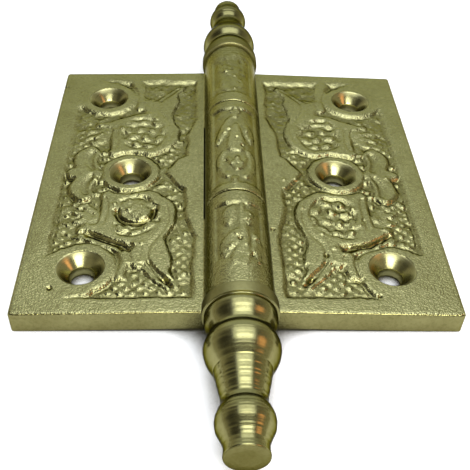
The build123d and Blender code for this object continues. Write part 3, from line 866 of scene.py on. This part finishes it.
def cast_brass(finish):
    """Satin cast brass: sandy flats, glossier relief, tarnish and painted shade in the ground and on the outer edges,
    and bright machined holes made lighter in part with painted reflected light.
    """
    _, sheet = new_material("Cast Brass")
    vector = sheet.add("ShaderNodeTexCoord").outputs["Object"]
    zones = sheet.group("Leaf Zones", {"Vector": vector})
    recess_and_shade, hole = zones["Recess And Shade"], zones["Hole"]
    # Tarnish patches, with painted shade in the sunken ground, on the outer edges and in the knuckles' fields
    tone = sheet.group("Brass Tone", {
        "Vector": vector, "Color": (*finish.cast_color, 1), "Tarnish And Shade": (*finish.tarnish_and_shade_color, 1),
        "Recess And Shade": sheet.times(sheet.times(recess_and_shade, sheet.minus(1.0, hole)), 0.78)})
    flat = sheet.minus(1.0, sheet.math("MAXIMUM", sheet.times(recess_and_shade, 0.75), hole))
    grain = sheet.group("Cast Grain", {"Vector": vector, "Amount": flat})
    rough = sheet.plus(finish.cast_roughness, sheet.times(sheet.minus(tone["Cloud"], 0.5), 0.25))
    rough = sheet.minus(rough, sheet.times(recess_and_shade, 0.1))
    rough = sheet.plus(rough, sheet.times(hole, 0.15), clamp=True)
    # Lighter colour of the machined holes, partly painted reflected light
    color = sheet.blend(hole, tone["Color"], (*finish.hole_brass_and_sheen_color, 1))
    # Darker colour at grazing angles paints shade on the leaves' rims
    metal_surface(sheet, color, rough, grain["Height"], 0.0002, (0.42, 0.4, 0.27, 1))


def turned_brass(sizes, finish):
    """Polished turned brass with the lathe's lines; the pressed collar and the end disc are duller, and the end disc
    carries painted shade.
    """
    _, sheet = new_material("Turned Brass")
    vector = sheet.add("ShaderNodeTexCoord").outputs["Object"]
    along = sheet.minus(sheet.math("ABSOLUTE", sheet.parts(vector)["Y"]), sizes.length / 2)
    disc = sheet.math("GREATER_THAN", along, 0.0327)
    dull = sheet.math("MAXIMUM", sheet.math("LESS_THAN", along, 0.0029), disc)
    lines = sheet.group("Turning Lines", {"Vector": vector, "Amount": sheet.minus(1.0, dull)})
    grain = sheet.group("Cast Grain", {"Vector": vector, "Amount": dull})
    # The end disc is darkened with painted shade
    tone = sheet.group("Brass Tone", {
        "Vector": vector, "Color": (*finish.turned_color, 1), "Tarnish And Shade": (*finish.tarnish_and_shade_color, 1),
        "Recess And Shade": sheet.times(disc, 0.5)})
    height = sheet.plus(sheet.times(lines["Height"], 0.35), sheet.times(grain["Height"], 0.7))
    rough = sheet.plus(finish.turned_roughness, sheet.times(sheet.minus(lines["Lines"], 0.5), 0.2))
    rough = sheet.plus(rough, sheet.times(dull, 0.16), clamp=True)
    # Dark colour at grazing angles paints shade on the finials' rims
    metal_surface(sheet, tone["Color"], rough, height, 0.00008, (0.17, 0.17, 0.19, 1))


class HINGE_OT_finishes(bpy.types.Operator):
    """Build the shared node groups and both brass finishes"""
    bl_idname = "hinge.finishes"
    bl_label = "Brass Finishes"

    def execute(self, context):
        sizes, finish = context.scene.hinge_sizes, context.scene.hinge_finish
        brass_tone_group()
        cast_grain_group()
        turning_lines_group()
        leaf_zones_group(sizes)
        cast_brass(finish)
        turned_brass(sizes, finish)
        return {"FINISHED"}


class HINGE_OT_leaves(bpy.types.Operator):
    """Build both cast leaves with their relief, knuckles and screw holes"""
    bl_idname = "hinge.leaves"
    bl_label = "Cast Leaves"

    def execute(self, context):
        sizes = context.scene.hinge_sizes
        material = bpy.data.materials["Cast Brass"]
        make_leaf(sizes, -1, "left_leaf_casting", "left_leaf", "left_leaf", material)
        make_leaf(sizes, 1, "right_leaf_casting", "right_leaf", "right_leaf", material)
        return {"FINISHED"}


class HINGE_OT_finials(bpy.types.Operator):
    """Build the two turned finials and finish the pin"""
    bl_idname = "hinge.finials"
    bl_label = "Turned Finials"

    def execute(self, context):
        sizes = context.scene.hinge_sizes
        material = bpy.data.materials["Turned Brass"]
        make_finial(sizes, 1, "upper_steeple", "upper_finial", material)
        make_finial(sizes, -1, "lower_steeple", "lower_finial", material)
        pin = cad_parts["hinge_pin"]
        pin.data.materials.clear()
        pin.data.materials.append(material)
        return {"FINISHED"}


def panel_lamp(name, level, color, place, target, width, length):
    """Flat lamp turned towards a point, of an even brightness over its face."""
    lamp = bpy.data.lights.new(name, "AREA")
    lamp.shape = "RECTANGLE"
    lamp.size, lamp.size_y = width, length
    lamp.energy = level * math.pi * width * length
    lamp.color = color
    holder = bpy.data.objects.new(name, lamp)
    holder.location = place
    holder.rotation_euler = (Vector(target) - Vector(place)).to_track_quat("-Z", "Y").to_euler()
    holder.visible_camera = False
    bpy.context.scene.collection.objects.link(holder)


class HINGE_OT_stage(bpy.types.Operator):
    """Set up the pale floor, the soft lamps and the camera"""
    bl_idname = "hinge.stage"
    bl_label = "Stage"

    def execute(self, context):
        stage = context.scene.hinge_stage
        floor = bmesh.new()
        bmesh.ops.create_grid(floor, x_segments=1, y_segments=1, size=3.0)
        bmesh.ops.translate(floor, verts=floor.verts, vec=(0, 0, -0.00002))
        ground = as_object("floor", floor)

        # Floor: glows for the camera and in reflections, and darkens where the hinge shuts off its sky
        material, sheet = new_material("Pale Floor")
        path = sheet.add("ShaderNodeLightPath")
        seen = sheet.math("MAXIMUM", path.outputs["Is Camera Ray"], path.outputs["Is Glossy Ray"])
        seen = sheet.math("MAXIMUM", seen, path.outputs["Is Transmission Ray"])
        open_sky = sheet.add("ShaderNodeAmbientOcclusion", {"Distance": 0.01}, samples=8).outputs["AO"]
        open_sky = sheet.ramp(open_sky, 0.34, 0.54)
        shade = sheet.blend(open_sky, (0.05, 0.045, 0.02, 1), (*stage.floor_color, 1))
        lit = sheet.add("ShaderNodeBsdfPrincipled", {
            "Base Color": shade, "Roughness": 0.9, "Specular IOR Level": 0.1})
        glow = sheet.add("ShaderNodeEmission", {
            "Color": (1, 1, 1, 1), "Strength": sheet.times(sheet.times(seen, open_sky), 0.32)})
        both = sheet.add("ShaderNodeAddShader", {0: lit.outputs[0], 1: glow.outputs[0]})
        sheet.finish("ShaderNodeOutputMaterial", both)
        ground.data.materials.append(material)

        # World: pale near the horizon, with a bright far wall and one dark patch for the brass to mirror
        world = bpy.data.worlds.new("Pale Room")
        context.scene.world = world
        world.use_nodes = True
        world.node_tree.nodes.clear()
        sheet = NodeSheet(world.node_tree)
        way = sheet.add("ShaderNodeTexCoord").outputs["Generated"]
        far_wall = sheet.lobe(way, (0.0, 0.88, 0.47), 48, 12)
        dark_patch = sheet.lobe(way, (-0.82, -0.02, 0.57), 27, 8)
        level = sheet.plus(sheet.ramp(sheet.parts(way)["Z"], 0.1, 0.85, 0.7, 0.1), sheet.times(far_wall, 0.66))
        level = sheet.times(level, sheet.minus(1.0, sheet.times(dark_patch, 0.75)))
        tone = sheet.blend(far_wall, (1.0, 0.94, 0.74, 1), (0.94, 1.0, 1.02, 1))
        sheet.finish("ShaderNodeOutputWorld", sheet.add("ShaderNodeBackground", {
            "Color": tone, "Strength": sheet.times(level, stage.sky_level)}))

        high = stage.lamp_height
        for name, share, *shape in (
                ("back_panel", 0.72, (0.95, 1.0, 1.14), (0.035, 0.065, high), (0.035, 0.065, 0), 0.46, 0.39),
                ("top_panel", 1.2, (0.97, 1.0, 1.1), (0.035, -0.05, high - 0.01), (0.035, -0.05, 0), 0.30, 0.15),
                ("front_panel", 1.2, (0.95, 1.0, 1.1), (0.035, -0.41, high), (0.035, -0.41, 0), 0.46, 0.20),
                ("low_panel", 3.1, (1.0, 0.99, 0.95), (0.10, -0.60, 0.50), (0, 0, 0), 0.48, 0.20),
                ("warm_lamp", 0.8, (1.0, 0.45, 0.26), (0.265, -0.072, 0.205), (0, -0.072, 0), 0.10, 0.13)):
            panel_lamp(name, stage.lamp_level * share, *shape)

        camera = bpy.data.cameras.new("camera")
        camera.sensor_width = 36.0
        camera.lens = FOCAL_PIXELS / PICTURE_PIXELS * camera.sensor_width
        camera.clip_start = 0.01
        holder = bpy.data.objects.new("camera", camera)
        pitch, yaw, roll = map(math.radians, CAMERA_TURN)
        forward = Vector((math.sin(yaw) * math.cos(pitch), math.cos(yaw) * math.cos(pitch), -math.sin(pitch)))
        level_right = Vector((math.cos(yaw), -math.sin(yaw), 0.0))
        level_up = level_right.cross(forward)
        right = math.cos(roll) * level_right + math.sin(roll) * level_up
        up = -math.sin(roll) * level_right + math.cos(roll) * level_up
        turn = Matrix((right, up, -forward)).transposed().to_4x4()
        holder.matrix_world = Matrix.Translation(CAMERA_PLACE) @ turn
        context.scene.collection.objects.link(holder)
        context.scene.camera = holder
        context.scene.view_settings.view_transform = "Standard"
        return {"FINISHED"}


class HINGE_PT_panel(bpy.types.Panel):
    """Sizes, finishes and steps of the hinge"""
    bl_idname = "HINGE_PT_panel"
    bl_label = "Decorative Hinge"
    bl_space_type = "VIEW_3D"
    bl_region_type = "UI"
    bl_category = "Hinge"

    def draw(self, context):
        for label, group in (("Sizes", context.scene.hinge_sizes), ("Finish", context.scene.hinge_finish),
                             ("Stage", context.scene.hinge_stage)):
            box = self.layout.box()
            box.label(text=label)
            for name in group.__annotations__:
                box.prop(group, name)
        for operator in (HINGE_OT_finishes, HINGE_OT_leaves, HINGE_OT_finials, HINGE_OT_stage):
            self.layout.operator(operator.bl_idname)


CLASSES = (HingeSizes, HingeFinish, HingeStage, HINGE_OT_finishes, HINGE_OT_leaves, HINGE_OT_finials,
           HINGE_OT_stage, HINGE_PT_panel)


def register():
    for item in CLASSES:
        bpy.utils.register_class(item)
    bpy.types.Scene.hinge_sizes = PointerProperty(type=HingeSizes)
    bpy.types.Scene.hinge_finish = PointerProperty(type=HingeFinish)
    bpy.types.Scene.hinge_stage = PointerProperty(type=HingeStage)


def unregister():
    del bpy.types.Scene.hinge_stage
    del bpy.types.Scene.hinge_finish
    del bpy.types.Scene.hinge_sizes
    for item in reversed(CLASSES):
        bpy.utils.unregister_class(item)


def main():
    register()
    bpy.ops.hinge.finishes()
    bpy.ops.hinge.leaves()
    bpy.ops.hinge.finials()
    bpy.ops.hinge.stage()


if __name__ == "__main__":
    main()
